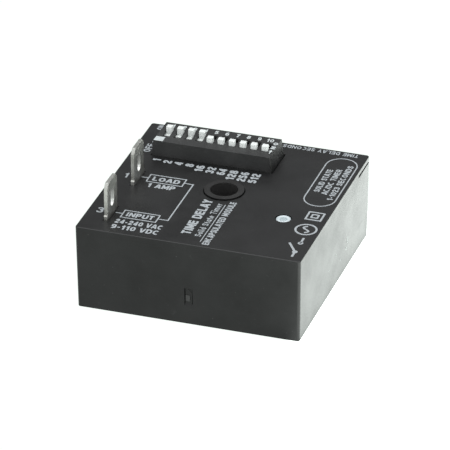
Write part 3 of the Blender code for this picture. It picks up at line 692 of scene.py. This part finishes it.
def make_slider(name, place):
    middle_x, middle_y, top = place
    roof = SWITCH_TOP - 0.72 * MM
    low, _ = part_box(name)
    under = roof - 0.8 * MM
    half_x, half_y, half_flange = 0.675 * MM, 0.65 * MM, 0.9 * MM

    def carriage(shape):
        """The flange that runs under the cover, with the lug below it."""
        reach = half_y + 0.7 * MM
        outline = [(-reach, under), (-half_y, under), (-half_y / 2, low.z), (half_y / 2, low.z),
                   (half_y, under), (reach, under), (reach, roof), (-reach, roof)]
        outline = [(middle_y + y, z) for y, z in outline]
        prism(shape, outline, middle_x - half_flange, middle_x + half_flange, "X")

    def knob(shape):
        base = rectangle(middle_x - half_x, middle_x + half_x,
                         middle_y - half_y, middle_y + half_y)
        tip_x, tip_y = half_x - 0.01 * MM, half_y - 0.01 * MM
        tip = rectangle(middle_x - tip_x, middle_x + tip_x, middle_y - tip_y, middle_y + tip_y)
        prism(shape, base, roof - 0.4 * MM, top, end_outline=tip)
        bmesh.ops.bevel(shape, geom=list(shape.edges), offset=0.13 * MM, segments=4,
                        profile=0.55, affect="EDGES")

    slider = solid(f"{name}_knob", carriage, joins=[knob])
    soften(slider, 0.04 * MM, 2, 40)
    finish_piece(slider, name, white_finish, [name])


# ---------------------------------------------------------------- printed legends
def stroke_outline(points, line):
    """The closed outline of a bent line of one width through the points."""
    sides = ([], [])
    for index, point in enumerate(points):
        here = Vector(point)
        before = Vector(points[max(index - 1, 0)])
        after = Vector(points[min(index + 1, len(points) - 1)])
        into = (here - before).normalized() if index else (after - here).normalized()
        out = (after - here).normalized() if index < len(points) - 1 else into
        first, second = Vector((-into.y, into.x)), Vector((-out.y, out.x))
        mitre = (first + second).normalized()
        reach = line / 2 / mitre.dot(second)
        sides[0].append(tuple(here + mitre * reach))
        sides[1].append(tuple(here - mitre * reach))
    return sides[0] + sides[1][::-1]


def arc(x, y, wide, tall, start, end, steps=8):
    """Points along part of an ellipse, from one angle to another in degrees."""
    angles = [math.radians(start + (end - start) * step / steps) for step in range(steps + 1)]
    return [(x + wide * math.cos(angle), y + tall * math.sin(angle)) for angle in angles]


def loop(x, y, wide, tall):
    """A closed ellipse as two half strokes."""
    return [arc(x, y, wide, tall, 90, -90), arc(x, y, wide, tall, 90, 270)]


def stem(x, low=0.0, high=1.0):
    return [(x, low), (x, high)]


def level(y, low, high):
    return [(low, y), (high, y)]


SIX_BACK = [(0.5, 0.8), (0.41, 0.89), (0.3, 0.9), (0.19, 0.84), (0.12, 0.67), (0.1, 0.46),
            (0.13, 0.25), (0.2, 0.14), (0.31, 0.1)]
SIX_BOWL = arc(0.31, 0.33, 0.21, 0.23, -90, 180, 10)
BOWL = [(0.1, 0.9)] + arc(0.36, 0.68, 0.2, 0.22, 90, -90, 6) + [(0.1, 0.46)]
# each sign: how wide it is and its strokes, for a capital height of 1 and strokes 0.2 wide
LETTERS = {
    " ": (0.3, []), "-": (0.4, [level(0.4, 0.04, 0.36)]), "/": (0.4, [[(0.04, -0.04), (0.36, 1.04)]]),
    "0": (0.62, loop(0.31, 0.5, 0.21, 0.4)),
    "1": (0.44, [stem(0.3), [(0.04, 0.71), (0.17, 0.75), (0.27, 0.9)]]),
    "2": (0.62, [[(0.11, 0.66), (0.14, 0.8), (0.22, 0.88), (0.33, 0.9), (0.45, 0.86), (0.51, 0.74),
                  (0.48, 0.6), (0.36, 0.46), (0.2, 0.31), (0.13, 0.14)], level(0.1, 0.04, 0.6)]),
    "3": (0.62, [[(0.11, 0.72), (0.17, 0.86), (0.31, 0.9), (0.45, 0.84), (0.49, 0.71),
                  (0.43, 0.58), (0.26, 0.53)],
                 [(0.3, 0.53), (0.46, 0.46), (0.52, 0.31), (0.46, 0.16), (0.31, 0.1), (0.17, 0.14),
                  (0.1, 0.28)]]),
    "4": (0.62, [stem(0.44), level(0.27, 0.03, 0.6), [(0.08, 0.27), (0.42, 0.93)]]),
    "5": (0.62, [level(0.9, 0.12, 0.57), [(0.18, 0.93), (0.13, 0.5)],
                 [(0.12, 0.5), (0.21, 0.57), (0.33, 0.59), (0.46, 0.52), (0.52, 0.36), (0.47, 0.18),
                  (0.33, 0.1), (0.18, 0.13), (0.09, 0.26)]]),
    "6": (0.62, [SIX_BACK, SIX_BOWL]),
    "7": (0.62, [level(0.9, 0.05, 0.58), [(0.52, 0.88), (0.36, 0.5), (0.27, 0.0)]]),
    "8": (0.62, loop(0.31, 0.71, 0.17, 0.19) + loop(0.31, 0.31, 0.21, 0.21)),
    "9": (0.62, [[(0.62 - x, 1.0 - y) for x, y in part] for part in (SIX_BACK, SIX_BOWL)]),
    "A": (0.76, [[(0.08, 0.0), (0.36, 1.0)], [(0.68, 0.0), (0.4, 1.0)], level(0.28, 0.2, 0.56)]),
    "C": (0.74, [arc(0.38, 0.5, 0.28, 0.4, 52, 308, 12)]),
    "D": (0.72, [stem(0.1), [(0.1, 0.9)] + arc(0.34, 0.5, 0.28, 0.4, 90, -90) + [(0.1, 0.1)]]),
    "E": (0.64, [stem(0.1)] + [level(y, 0.1, 0.6) for y in (0.1, 0.51, 0.9)]),
    "F": (0.62, [stem(0.1)] + [level(y, 0.1, 0.58) for y in (0.51, 0.9)]),
    "I": (0.24, [stem(0.12)]),
    "L": (0.6, [stem(0.1), level(0.1, 0.1, 0.56)]),
    "M": (0.86, [stem(0.1), stem(0.76), [(0.14, 0.98), (0.43, 0.16)], [(0.72, 0.98), (0.43, 0.16)]]),
    "N": (0.74, [stem(0.1), stem(0.64), [(0.12, 0.96), (0.62, 0.04)]]),
    "O": (0.78, loop(0.39, 0.5, 0.28, 0.4)),
    "P": (0.68, [stem(0.1), BOWL]),
    "R": (0.7, [stem(0.1), BOWL, [(0.34, 0.46), (0.5, 0.4), (0.55, 0.25), (0.58, 0.0)]]),
    "S": (0.66, [[(0.56, 0.7), (0.5, 0.84), (0.34, 0.9), (0.18, 0.86), (0.12, 0.73), (0.18, 0.6),
                  (0.34, 0.52), (0.5, 0.44), (0.56, 0.29), (0.5, 0.15), (0.33, 0.1), (0.16, 0.14),
                  (0.09, 0.3)]]),
    "T": (0.64, [level(0.9, 0.02, 0.62), stem(0.32, 0.0, 0.95)]),
    "U": (0.72, [[(0.1, 1.0), (0.1, 0.36), (0.13, 0.2), (0.22, 0.12), (0.36, 0.1), (0.5, 0.12),
                  (0.59, 0.2), (0.62, 0.36), (0.62, 1.0)]]),
    "V": (0.7, [[(0.08, 1.0), (0.33, 0.0)], [(0.62, 1.0), (0.37, 0.0)]]),
    "Y": (0.7, [[(0.08, 1.0), (0.35, 0.45)], [(0.62, 1.0), (0.35, 0.45)], stem(0.35, 0.0, 0.5)]),
    "a": (0.58, loop(0.28, 0.35, 0.18, 0.26) + [stem(0.48, 0.0, 0.7)]),
    "d": (0.58, loop(0.28, 0.35, 0.18, 0.26) + [stem(0.48)]),
    "e": (0.56, [arc(0.28, 0.35, 0.18, 0.26, 0, 310, 12), level(0.36, 0.14, 0.44)]),
    "i": (0.22, [stem(0.11, 0.0, 0.7), stem(0.11, 0.82, 1.0)]),
    "l": (0.22, [stem(0.11)]),
    "m": (0.86, [stem(0.1, 0.0, 0.7), stem(0.43, 0.0, 0.6), stem(0.76, 0.0, 0.55),
                 arc(0.265, 0.45, 0.165, 0.16, 180, 0, 6), arc(0.595, 0.45, 0.165, 0.16, 180, 0, 6)]),
    "o": (0.56, loop(0.28, 0.35, 0.18, 0.26)),
    "r": (0.4, [stem(0.1, 0.0, 0.7), arc(0.34, 0.38, 0.22, 0.23, 170, 90, 4)]),
    "t": (0.38, [stem(0.17, 0.04, 0.92), level(0.62, 0.02, 0.36), level(0.09, 0.17, 0.36)]),
}
LETTER_GAP = 0.11


class Legend:
    """Thin printed shapes that lie on one flat top, gathered into one piece."""

    def __init__(self, name, height):
        self.name = name
        self.low = height + INK_LIFT
        self.count = 0
        self.shape = bmesh.new()

    def outline(self, points):
        """One printed shape; neighbours differ a little in height so that none share a top."""
        self.count += 1
        start = self.low + self.count % 7 * INK_STEP
        prism(self.shape, points, start, start + INK_THICKNESS)

    def ring(self, outer, inner):
        """A closed band between two outlines with as many points each."""
        count = len(outer)
        levels = []
        for height in (self.low, self.low + INK_THICKNESS):
            levels.append([[self.shape.verts.new((x, y, height)) for x, y in line]
                           for line in (outer, inner)])
        (low_out, low_in), (high_out, high_in) = levels
        for index in range(count):
            after = (index + 1) % count
            for quad in ((low_out, low_in), (high_in, high_out),
                         (high_out, low_out), (low_in, high_in)):
                self.shape.faces.new((quad[0][index], quad[0][after],
                                      quad[1][after], quad[1][index]))

    def frame(self, low_x, high_x, low_y, high_y, line, radius=0.0):
        """A rectangle of one line width, with round corners if it has a radius."""
        steps = 10 if radius else 1
        outer = rounded_rectangle(low_x, high_x, low_y, high_y, max(radius, line * 0.3), steps)
        inner = rounded_rectangle(low_x + line, high_x - line, low_y + line, high_y - line,
                                  max(radius - line, line * 0.1), steps)
        self.ring(outer, inner)

    def disc_ring(self, centre, radius, line):
        self.ring(circle(radius, 48, centre), circle(radius - line, 48, centre))

    def bar(self, low_x, high_x, low_y, high_y):
        self.outline(rectangle(low_x, high_x, low_y, high_y))

    def stroke(self, points, line):
        self.outline(stroke_outline(points, line))

    def words(self, text, start, cap, turn=0.0, run=None, weight=0.2, end=None, middle=None):
        """Lettering whose baseline starts at start, ends at end, or is centred on middle.

        cap is the capital height and run the whole length, both in metres; turn is in degrees and
        weight is the width of a stroke as a part of the capital height.
        """
        left, shapes = 0.0, []
        for letter in text:
            width, strokes = LETTERS[letter]
            shapes += [[(left + x, y) for x, y in part] for part in strokes]
            left += width + LETTER_GAP
        natural = (left - LETTER_GAP) * cap
        wide = cap * (run / natural if run else 1.0)
        length = (left - LETTER_GAP) * wide
        along = Vector((math.cos(math.radians(turn)), math.sin(math.radians(turn))))
        across = Vector((-along.y, along.x))
        first = Vector(start or end or middle)
        first -= along * length * (0.0 if start else 1.0 if end else 0.5)
        for part in shapes:
            self.outline([tuple(first + along * x * wide + across * y * cap)
                          for x, y in stroke_outline(part, weight)])

    def finish(self, finish, slot):
        finish_piece(object_from(self.name, self.shape), "housing", finish)


QUARTER = 90.0


def make_terminal_legends():
    ink = Legend("legend_terminals", LID_TOP)
    line = 0.3 * MM
    for text, box, stub_y in (("LOAD", (-17.7, -9.2, -1.3, 2.25), 0.45),
                              ("INPUT", (-17.65, -9.4, -18.4, -14.9), -16.65)):
        low_x, high_x, low_y, high_y = (value * MM for value in box)
        ink.frame(low_x, high_x, low_y, high_y, line)
        ink.words(text, None, 1.75 * MM, run=6.2 * MM, weight=0.23,
                  middle=((low_x + high_x) / 2, (low_y + high_y) / 2 - 0.87 * MM))
        ink.bar(low_x - 1.47 * MM, low_x + 0.01 * MM, stub_y * MM - line / 2, stub_y * MM + line / 2)
    edge = -7.25 * MM
    ink.stroke([(-9.21 * MM, 0.45 * MM), (edge, 0.45 * MM), (edge, -16.65 * MM),
                (-9.41 * MM, -16.65 * MM)], line)
    ink.words("1 AMP", (-16.7 * MM, -3.5 * MM), 1.75 * MM, run=6.3 * MM, weight=0.23)
    ink.words("24-240 VAC", (-18.0 * MM, -21.0 * MM), 1.8 * MM, run=10.8 * MM, weight=0.22)
    ink.words("9-110 VDC", (-18.05 * MM, -23.45 * MM), 1.8 * MM, run=10.8 * MM, weight=0.22)
    ink.words("1", (-23.0 * MM, -0.9 * MM), 2.1 * MM, weight=0.18)
    ink.words("3", (-23.5 * MM, -17.8 * MM), 2.4 * MM, run=1.7 * MM, weight=0.16)
    ink.finish(ink_finish, "case_plastic")


def make_switch_legends():
    ink = Legend("legend_switch_weights", LID_TOP)
    cap = 1.9 * MM
    first_x, step_x, end_y = -18.6 * MM, 2.566 * MM, 9.4 * MM
    for index in range(len(SLIDERS)):
        text = str(2 ** index)
        baseline = first_x + step_x * index + cap / 2
        run = (1.5 * len(text) - 0.2) * MM if index else None
        ink.words(text, None, cap, QUARTER, run=run, weight=0.24, end=(baseline, end_y))
    ink.words("OFF", (-21.3 * MM, 11.8 * MM), 1.65 * MM, QUARTER, run=3.9 * MM, weight=0.18)
    ink.bar(-22.3 * MM, -22.05 * MM, 16.5 * MM, 18.6 * MM)
    ink.words("ON", (-21.8 * MM, 22.6 * MM), 1.65 * MM, QUARTER, run=2.2 * MM, weight=0.2)
    ink.words("TIME DELAY SECONDS", (23.2 * MM, 24.7 * MM), 1.35 * MM, 180.0, run=17.4 * MM,
              weight=0.18)
    ink.finish(ink_finish, "case_plastic")


def make_title_legends():
    ink = Legend("legend_title", LID_TOP)
    ink.words("TIME DELAY", (-0.75 * MM, -21.0 * MM), 2.1 * MM, QUARTER, run=15.9 * MM, weight=0.24)
    ink.words("Solid State Timer", (1.75 * MM, -21.4 * MM), 1.5 * MM, QUARTER, run=15.4 * MM,
              weight=0.15)
    ink.words("ENCAPSULATED MODULE", (4.45 * MM, -24.3 * MM), 1.5 * MM, QUARTER,
              run=19.8 * MM, weight=0.22)
    ink.bar(2.25 * MM, 2.45 * MM, -23.4 * MM, -6.2 * MM)
    ink.finish(ink_finish, "case_plastic")


def make_side_legends():
    ink = Legend("legend_side", LID_TOP)
    ink.frame(17.3 * MM, 24.55 * MM, -0.7 * MM, 22.2 * MM, 0.28 * MM, radius=3.6 * MM)
    for text, baseline, low_y, high_y in (("SOLID STATE", 19.85, 5.7, 16.3),
                                          ("AC/DC TIMER", 21.8, 5.0, 16.9),
                                          ("1-1023 SECONDS", 23.7, 2.8, 19.2)):
        ink.words(text, (baseline * MM, low_y * MM), 1.35 * MM, QUARTER,
                  run=(high_y - low_y) * MM, weight=0.21)
    # one square in another, a wave in a ring and an open contact
    ink.frame(20.4 * MM, 24.2 * MM, -7.0 * MM, -3.2 * MM, 0.42 * MM)
    ink.frame(21.4 * MM, 23.2 * MM, -6.0 * MM, -4.2 * MM, 0.42 * MM)
    centre = (22.2 * MM, -11.3 * MM)
    ink.disc_ring(centre, 2.5 * MM, 0.45 * MM)
    wave = [(centre[0] + 0.75 * MM * math.sin(math.tau * step / 16),
             centre[1] - 1.45 * MM + 2.9 * MM * step / 16) for step in range(17)]
    ink.stroke(wave, 0.45 * MM)
    contact_x, pivot_y, meeting_y = 22.9 * MM, -21.4 * MM, -17.4 * MM
    ink.stroke([(contact_x, -23.6 * MM), (contact_x, pivot_y), (20.6 * MM, -17.9 * MM)], 0.5 * MM)
    ink.stroke([(contact_x, meeting_y), (contact_x, -15.0 * MM)], 0.5 * MM)
    for y in (pivot_y, meeting_y):
        ink.disc_ring((contact_x, y), 0.6 * MM, 0.35 * MM)
    ink.finish(ink_finish, "case_plastic")


SCUFFS = (   # on the right face: start and end in Y and Z, and width, in mm
    (9.6, 7.4, 9.3, 6.0, 0.2), (8.6, 5.4, 8.4, 4.7, 0.3), (4.4, 4.6, 4.3, 4.2, 0.2),
    (1.2, 7.4, 0.9, 7.1, 0.15), (-3.9, 6.1, -4.1, 5.8, 0.15))


def make_side_scuffs():
    """A few pale rubbed spots low on the right face, which leans in towards the bottom."""
    shape = bmesh.new()
    for start_y, start_z, end_y, end_z, width in SCUFFS:
        outline = stroke_outline([(start_y * MM, start_z * MM), (end_y * MM, end_z * MM)],
                                 width * MM)
        middle = (start_z + end_z) / 2 * MM
        face = HALF_BOTTOM + (HALF_TOP - HALF_BOTTOM) * middle / LID_TOP
        prism(shape, outline, face - 0.03 * MM, face + 0.025 * MM, "X")
    finish_piece(object_from("side_scuffs", shape), "housing", scuff_finish)


def make_switch_marks():
    ink = Legend("switch_marks", SWITCH_TOP)
    for index, (middle, _, _) in enumerate(knob_places()):
        ink.words(str(index + 1), None, 1.4 * MM, weight=0.2,
                  middle=(middle + (0.22 - 0.045 * index) * MM, 17.95 * MM))
    # the word ON and its arrow stand on the strip between the last slot and the switch's end
    for letter, middle_y in (("O", 17.5 * MM), ("N", 15.6 * MM)):
        ink.words(letter, None, 1.0 * MM, -QUARTER, 1.15 * MM, 0.26, middle=(5.67 * MM, middle_y))
    arrow_x, barb_y = 6.16 * MM, 13.6 * MM
    ink.stroke([(arrow_x, 12.7 * MM), (arrow_x, 14.2 * MM)], 0.24 * MM)
    ink.stroke([(5.83 * MM, barb_y), (arrow_x, 14.3 * MM), (6.49 * MM, barb_y)], 0.2 * MM)
    ink.bar(-20.05 * MM, -17.95 * MM, 11.05 * MM, 13.0 * MM)
    ink.finish(mark_finish, "switch_plastic")


# ---------------------------------------------------------------- inner parts keep their CAD shape
INNER_FINISHES = {
    "potting_resin": plain_part("inner_resin", (0.02, 0.02, 0.022), 0.55),
    "board_laminate": plain_part("inner_board", (0.05, 0.17, 0.08), 0.45),
    "tinned_metal": plain_part("inner_tin", (0.52, 0.52, 0.49), 0.35, 1.0),
    "contact_metal": plain_part("inner_contact", (0.75, 0.6, 0.3), 0.3, 1.0),
    "switch_plastic": plain_part("inner_switch", (0.04, 0.041, 0.041), 0.5),
    "package_plastic": plain_part("inner_package", (0.02, 0.02, 0.02), 0.5),
    "capacitor_sleeve": plain_part("inner_sleeve", (0.03, 0.05, 0.16), 0.35),
    "film_plastic": plain_part("inner_film", (0.45, 0.06, 0.04), 0.4),
    "ceramic": plain_part("inner_ceramic", (0.55, 0.33, 0.12), 0.5),
}


def finish_inner_parts():
    slots = {entry["node"]: entry["material_slot"] for entry in frame["record"]["subparts"]}
    for name, node in frame["nodes"].items():
        if node.hide_render:
            continue
        finish = INNER_FINISHES[slots[name]]
        node.data.materials.clear()
        node.data.materials.append(finish)


# ---------------------------------------------------------------- stage, light and camera
def make_floor():
    """A glowing white floor, brighter from the object's right face outwards."""
    def sheet(shape):
        outline = rectangle(-FLOOR_HALF, FLOOR_HALF, -FLOOR_HALF, FLOOR_HALF)
        shape.faces.new([shape.verts.new((x, y, -FLOOR_DROP)) for x, y in outline])

    floor = draft_object("floor", sheet)
    material = bpy.data.materials.new("floor_white")
    material.use_nodes = True
    tree = material.node_tree
    tree.nodes.clear()
    output = tree.nodes.new("ShaderNodeOutputMaterial")
    glow = tree.nodes.new("ShaderNodeEmission")
    place = tree.nodes.new("ShaderNodeNewGeometry")
    split = tree.nodes.new("ShaderNodeSeparateXYZ")
    ramp = tree.nodes.new("ShaderNodeMapRange")
    ramp.inputs["From Min"].default_value = GLOW_START
    ramp.inputs["From Max"].default_value = GLOW_END
    ramp.inputs["To Min"].default_value = FLOOR_FRONT
    ramp.inputs["To Max"].default_value = FLOOR_RIGHT
    tree.links.new(place.outputs["Position"], split.inputs["Vector"])
    tree.links.new(split.outputs["X"], ramp.inputs["Value"])
    glow.inputs["Color"].default_value = (0.94, 1.0, 0.96, 1.0)
    tree.links.new(ramp.outputs["Result"], glow.inputs["Strength"])
    tree.links.new(glow.outputs["Emission"], output.inputs["Surface"])
    floor.data.materials.append(material)


def make_world():
    """Soft studio surroundings: a broad bright ceiling, a pale front and a dim back."""
    world = bpy.data.worlds.new("studio")
    world.use_nodes = True
    tree = world.node_tree
    background = tree.nodes["Background"]
    background.inputs["Color"].default_value = (0.97, 0.99, 1.0, 1.0)
    place = tree.nodes.new("ShaderNodeTexCoord")
    split = tree.nodes.new("ShaderNodeSeparateXYZ")
    tree.links.new(place.outputs["Generated"], split.inputs["Vector"])

    def ramp(socket, low, high, out_low, out_high):
        node = tree.nodes.new("ShaderNodeMapRange")
        node.interpolation_type = "SMOOTHSTEP"
        for name, value in (("From Min", low), ("From Max", high),
                            ("To Min", out_low), ("To Max", out_high)):
            node.inputs[name].default_value = value
        tree.links.new(split.outputs[socket], node.inputs["Value"])
        return node.outputs["Result"]

    brighter = tree.nodes.new("ShaderNodeMath")
    brighter.operation = "MAXIMUM"
    tree.links.new(ramp("Y", -0.45, 0.1, SKY_FRONT, SKY_BACK), brighter.inputs[0])
    tree.links.new(ramp("Z", 0.6, 0.85, 0.0, SKY_TOP), brighter.inputs[1])
    tree.links.new(brighter.outputs["Value"], background.inputs["Strength"])
    bpy.context.scene.world = world


def make_camera():
    azimuth = math.radians(CAMERA_AZIMUTH)
    elevation = math.radians(CAMERA_ELEVATION)
    roll = math.radians(CAMERA_ROLL)
    back = Vector((math.sin(azimuth) * math.cos(elevation),
                   -math.cos(azimuth) * math.cos(elevation), math.sin(elevation)))
    sideways = Vector((math.cos(azimuth), math.sin(azimuth), 0.0))
    upright = back.cross(sideways)
    right = math.cos(roll) * sideways + math.sin(roll) * upright
    up = -math.sin(roll) * sideways + math.cos(roll) * upright
    place = (Vector((0.0, 0.0, CAMERA_AIM_HEIGHT)) + back * CAMERA_DISTANCE
             + right * CAMERA_SHIFT_RIGHT + up * CAMERA_SHIFT_UP)
    lens = bpy.data.cameras.new("camera")
    lens.sensor_width = SENSOR_WIDTH
    lens.lens = CAMERA_LENS
    lens.clip_start = 0.01
    lens.clip_end = 20.0
    camera = bpy.data.objects.new("camera", lens)
    camera.matrix_world = Matrix.Translation(place) @ Matrix((right, up, back)).transposed().to_4x4()
    bpy.context.scene.collection.objects.link(camera)
    bpy.context.scene.camera = camera


make_cup()
make_lid()
for blade_name in BLADES:
    make_blade(blade_name)
make_lamp()
make_switch()
for slider_name, slider_place in zip(SLIDERS, knob_places()):
    make_slider(slider_name, slider_place)
make_terminal_legends()
make_switch_legends()
make_title_legends()
make_side_legends()
make_side_scuffs()
make_switch_marks()
finish_inner_parts()
make_floor()
make_world()
make_camera()
bpy.context.scene.view_settings.view_transform = "Standard"
